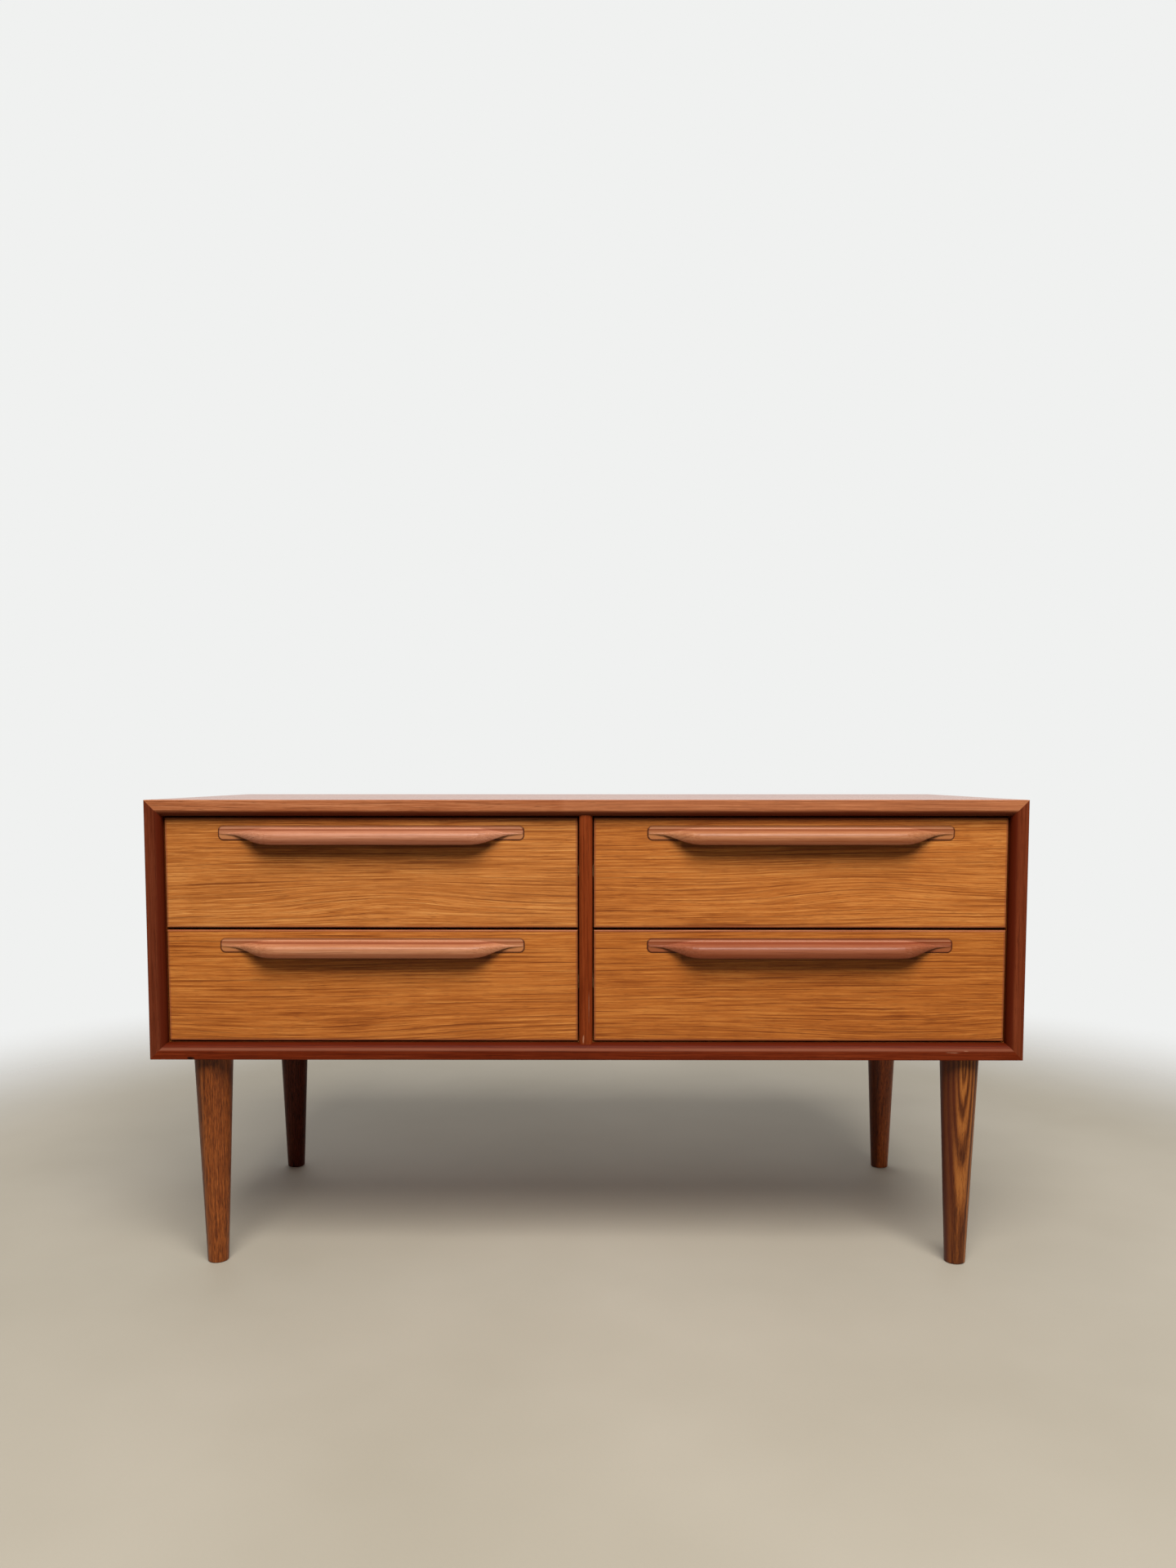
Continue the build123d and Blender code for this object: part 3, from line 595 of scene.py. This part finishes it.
def dress_legs():
    """Each leg has its own figure, and all but one are darker towards their left side, which is painted
    shade.
    """
    half_height = middle_of("leg_front_right")[2]  # the legs stand on the floor
    changes = {
        ("front", "left"): dict(fleck=(48.0, 2100.0), bands=[
            # painted shade on the leg's left side
            beyond(-1.0, 0.0100, 0.0150, 0.45, srgb(62, 26, 8)),
            line(-0.0125, 0.0012, 0.9, srgb(54, 20, 6), broken=True),
            line(-0.0095, 0.0010, 0.7, srgb(176, 116, 66), broken=True),
        ]),
        ("front", "right"): dict(
            spacing=0.0052, open=0.60, jitter=0.9, rings=cathedrals(half_height, 0.262, 0.0165),
            # painted shade on the leg's left side
            bands=[beyond(-1.0, 0.0030, 0.0130, 0.80, srgb(78, 28, 10))],
        ),
        ("back", "left"): dict(gloss=0.1),
        # painted shade on the leg's left side
        ("back", "right"): dict(bands=[beyond(-1.0, 0.0020, 0.0100, 0.7, srgb(44, 12, 6))]),
    }
    for number, (end, side) in enumerate(LEGS):
        dress_wood(f"leg_{end}_{side}", "ZX", "leg", LEG_SEED + number, **changes[end, side])


# soft hills in the year lines of each front: along, across, length, width, height
FIGURES = {
    ("upper", "left"): [(0.015, -0.030, 0.130, 0.024, -0.015)],
    ("upper", "right"): [(0.080, -0.020, 0.120, 0.026, -0.013)],
    ("lower", "left"): [(-0.060, -0.070, 0.260, 0.036, 0.014)],
    ("lower", "right"): [(0.150, -0.068, 0.220, 0.034, 0.012)],
}
# what the flush ends of each handle are toned towards: much the colour of the front round them
END_TONES = {
    ("upper", "left"): srgb(172, 112, 62),
    ("upper", "right"): srgb(168, 106, 58),
    ("lower", "left"): srgb(172, 108, 56),
    ("lower", "right"): srgb(146, 82, 44),
}
EDGING = (srgb(112, 50, 30), srgb(152, 84, 58))
EDGING_WIDTH = 0.0024
EDGING_JOINT = srgb(72, 26, 12)
JOINT_AND_SHADE = srgb(60, 20, 8)  # round the handle's base: a dark joint, with painted shade that is stronger below than along its top
UNDER_LIP_SHADOW = srgb(70, 22, 8)  # painted shadow on the front under the handle's lip
# painted on the lip: shade in the hollow along its top, a line of shade near the hollow's lower edge,
# a highlight near its upper edge, and shade on the lip's lower part
HOLLOW_SHADE = srgb(146, 76, 44)
HOLLOW_FOOT_SHADE = srgb(112, 44, 20)
HOLLOW_HEAD_HIGHLIGHT = srgb(226, 168, 132)
BELLY_SHADE = srgb(124, 50, 8)
# how far they lie above the middle of the handle's base, and the lower part below it: where it
# starts, and where it is fully toned
HOLLOW_UP = 0.0048
HOLLOW_FOOT_UP = 0.0040
HOLLOW_HEAD_UP = 0.0061
BELLY_DOWN = (0.0056, 0.0096)
FLUSH_DOWN = 0.0014  # the flush ends are toned more strongly from here down
BASE_HEIGHT = 0.0175  # of the part of a handle that is let into the front
BASE_CORNER = 0.006
# a handle's flush tone, and the joint with its painted shade round its base, are painted on what stands
# off the drawer's face by less than this
FLUSH_REACH = 0.0011
JOINT_REACH = 0.0013
LIP_SHADE = (0.150, 0.0052)  # half the length and height of the painted shadow under the lip
LIP_SHADE_DROP = 0.0135  # its middle below the base's


def front_bands(half, base, level):
    """What is painted on a front, with the handle's base at one level above its middle.

    half and base are half the front's and half the base's length and height.
    """
    return [
        edge_band(half, EDGING_WIDTH, 0.55, EDGING, 0.35, EDGING_JOINT),
        # a painted shadow on the front under the handle's lip
        patch(LIP_SHADE, 0.005, (0.0, level - LIP_SHADE_DROP), 0.0024, 0.58, UNDER_LIP_SHADOW),
        # the dark joint round the handle's base, with painted shade
        outline(base, BASE_CORNER, (0.0, level), 0.0011, 0.9, JOINT_AND_SHADE),
    ]


def handle_bands(base, level, face, end_tone):
    """What is painted on a handle, with its base at one level above the handle's own middle.

    face is how far behind that middle the drawer's face lies.
    """
    belly_start, belly_end = BELLY_DOWN
    return [
        flush(face - FLUSH_REACH, level - FLUSH_DOWN, 0.62, end_tone),
        # painted shade in the hollow
        line(level + HOLLOW_UP, 0.0042, 0.46, HOLLOW_SHADE),
        # painted shade on the lip's lower part
        beyond(-1.0, belly_start - level, belly_end - level, 0.55, BELLY_SHADE),
        # a line of painted shade near the hollow's lower edge
        line(level + HOLLOW_FOOT_UP, 0.0012, 0.80, HOLLOW_FOOT_SHADE),
        # a painted highlight near the hollow's upper edge
        line(level + HOLLOW_HEAD_UP, 0.0008, 0.55, HOLLOW_HEAD_HIGHLIGHT),
        # the dark joint round the base, with painted shade
        outline(base, BASE_CORNER, (0.0, level), 0.0012, 0.8, JOINT_AND_SHADE, behind=face - JOINT_REACH),
    ]


def dress_front(number, level, side):
    """A drawer's veneered front and the solid handle let into it near its top edge."""
    front = f"drawer_{level}_{side}_front"
    handle = f"drawer_{level}_{side}_handle"
    low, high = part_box(front)
    half = ((high - low)[0] / 2, (high - low)[2] / 2)
    grip_low, grip_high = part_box(handle)
    base = ((grip_high - grip_low)[0] / 2, BASE_HEIGHT / 2)
    base_up = grip_high[2] - base[1]  # a handle's highest edge is its base's
    on_front = base_up - middle_of(front)[2]
    on_handle = base_up - middle_of(handle)[2]
    face = low[1] - middle_of(handle)[1]
    dress_wood(front, "XZ", "veneer", FRONT_SEED + number, figure=FIGURES[level, side],
               bands=front_bands(half, base, on_front))
    dress_wood(handle, "XZ", "handle", HANDLE_SEED + number,
               bands=handle_bands(base, on_handle, face, END_TONES[level, side]))


def dress_drawer_box(number, level, side):
    """The rest of a drawer, and the two runners that it slides on."""
    drawer = f"drawer_{level}_{side}"
    for hand in SIDES:
        dress_wood(f"{drawer}_side_{hand}", "YZ", "drawer", DRAWER_SIDE_SEED + number)
        dress_wood(f"runner_{level}_{side}_{hand}", "YZ", "drawer", RUNNER_SEED + number)
    dress_wood(f"{drawer}_back", "XZ", "drawer", DRAWER_BACK_SEED + number)
    dress_wood(f"{drawer}_bottom", "XY", "plywood", DRAWER_BOTTOM_SEED + number)


def dress_fittings():
    """The screws, and the plates and bolts that hold the legs."""
    plated = steel("plated_steel")
    nodes = ["back_panel_screws", "runner_screws", "leg_plates", "leg_hanger_bolts", "leg_plate_screws"]
    nodes += [f"drawer_{level}_{side}_handle_screws" for level, side in DRAWERS]
    for node in nodes:
        dress(node, plated)


# ---------------------------------------------------------------- studio

PALE = srgb(240, 241, 240)
FLOOR_TONES = (srgb(156, 149, 134), srgb(169, 162, 148))
FLOOR_HALF = 6.0
FLOOR_FADE = (1.0, 1.9)  # metres from the origin where the floor starts to fade and where it is gone


def floor():
    """A plain pale floor that fades away into the pale background, so that no horizon shows."""
    half = FLOOR_HALF
    corners = [(-half, -half, 0), (half, -half, 0), (half, half, 0), (-half, half, 0)]
    mesh = bpy.data.meshes.new("floor")
    mesh.from_pydata(corners, [], [(0, 1, 2, 3)])
    piece = bpy.data.objects.new("floor", mesh)
    bpy.context.scene.collection.objects.link(piece)
    finish = Finish(bpy.data.materials.new("pale_floor"))
    place = finish.place()
    cloud = finish.noise(place, (1.6, 1.6, 1.6), detail=4.0)
    grit = finish.noise(place, (260.0, 260.0, 260.0))
    colour = finish.ramp(cloud, [(0.3, FLOOR_TONES[0]), (0.7, FLOOR_TONES[1])])
    rough = finish.plus(0.62, finish.times(grit, 0.1))
    ground = finish.surface(colour, rough, grit, 0.0001, {"Specular IOR Level": 0.2})
    clear = finish.add("ShaderNodeBsdfTransparent").outputs[0]
    fade = finish.step(finish.length(place), *FLOOR_FADE)
    mesh.materials.append(finish.material(finish.mix_shaders(fade, ground, clear)))


def area_light(name, place, target, size, power, colour):
    data = bpy.data.lights.new(name, "AREA")
    data.shape = "RECTANGLE"
    data.size, data.size_y = size
    data.energy = power
    data.color = colour
    lamp = bpy.data.objects.new(name, data)
    bpy.context.scene.collection.objects.link(lamp)
    lamp.location = place
    lamp.rotation_euler = (Vector(target) - Vector(place)).to_track_quat("-Z", "Y").to_euler()
    return lamp


def background():
    """Plain and pale to the camera. The light that it gives comes mostly from above and behind."""
    world = bpy.data.worlds.new("studio")
    bpy.context.scene.world = world
    light = Finish(world)
    around = light.add("ShaderNodeTexCoord").outputs["Generated"]
    _, ahead, up = light.split(around)
    overhead = light.step(up, 0.35, 0.9)
    behind = light.times(light.step(ahead, 0.5, 0.9), light.step(up, 0.0, 0.05))
    strength = light.plus(0.06, light.times(overhead, 0.45))
    strength = light.plus(strength, light.times(behind, 0.75))
    glow = light.add("ShaderNodeBackground", {0: (0.98, 0.98, 1.0, 1.0), 1: strength}).outputs[0]
    seen = light.add("ShaderNodeBackground", {0: PALE, 1: 1.0}).outputs[0]
    camera_ray = light.add("ShaderNodeLightPath").outputs["Is Camera Ray"]
    light.add("ShaderNodeOutputWorld", {0: light.mix_shaders(camera_ray, glow, seen)})


def studio():
    """A broad soft light high in front, and a weak one from behind on the left."""
    area_light("key", place=(0.35, -2.45, 3.45), target=(0, 0, 0.35), size=(2.8, 2.0),
               power=232, colour=(1.0, 0.975, 0.94))
    fill = area_light("fill", place=(-0.7, 1.9, 2.9), target=(0, 0.1, 0.4), size=(2.2, 1.6),
                      power=18, colour=(0.97, 0.98, 1.0))
    fill.visible_glossy = False  # or the glossy top would mirror it
    bpy.context.scene.view_settings.view_transform = "Standard"


def camera():
    """Stands in front of the case, a little above its top, and looks slightly down."""
    data = bpy.data.cameras.new("camera")
    data.sensor_width = 36.0
    data.lens = 27.08
    data.shift_y = 0.0484
    eye = bpy.data.objects.new("camera", data)
    bpy.context.scene.collection.objects.link(eye)
    pitch = math.radians(-4.1)
    turn = math.radians(0.28)
    eye.location = (0.010, -1.684, 0.632)
    ahead = Vector((
        -math.sin(turn) * math.cos(pitch),
        math.cos(turn) * math.cos(pitch),
        math.sin(pitch),
    ))
    eye.rotation_euler = ahead.to_track_quat("-Z", "Y").to_euler()
    bpy.context.scene.camera = eye


dress_panels()
dress_lipping()
dress_legs()
for number, (level, side) in enumerate(DRAWERS):
    dress_front(number, level, side)
    dress_drawer_box(number, level, side)
dress_fittings()
floor()
background()
studio()
camera()

bpy.context.view_layer.update()
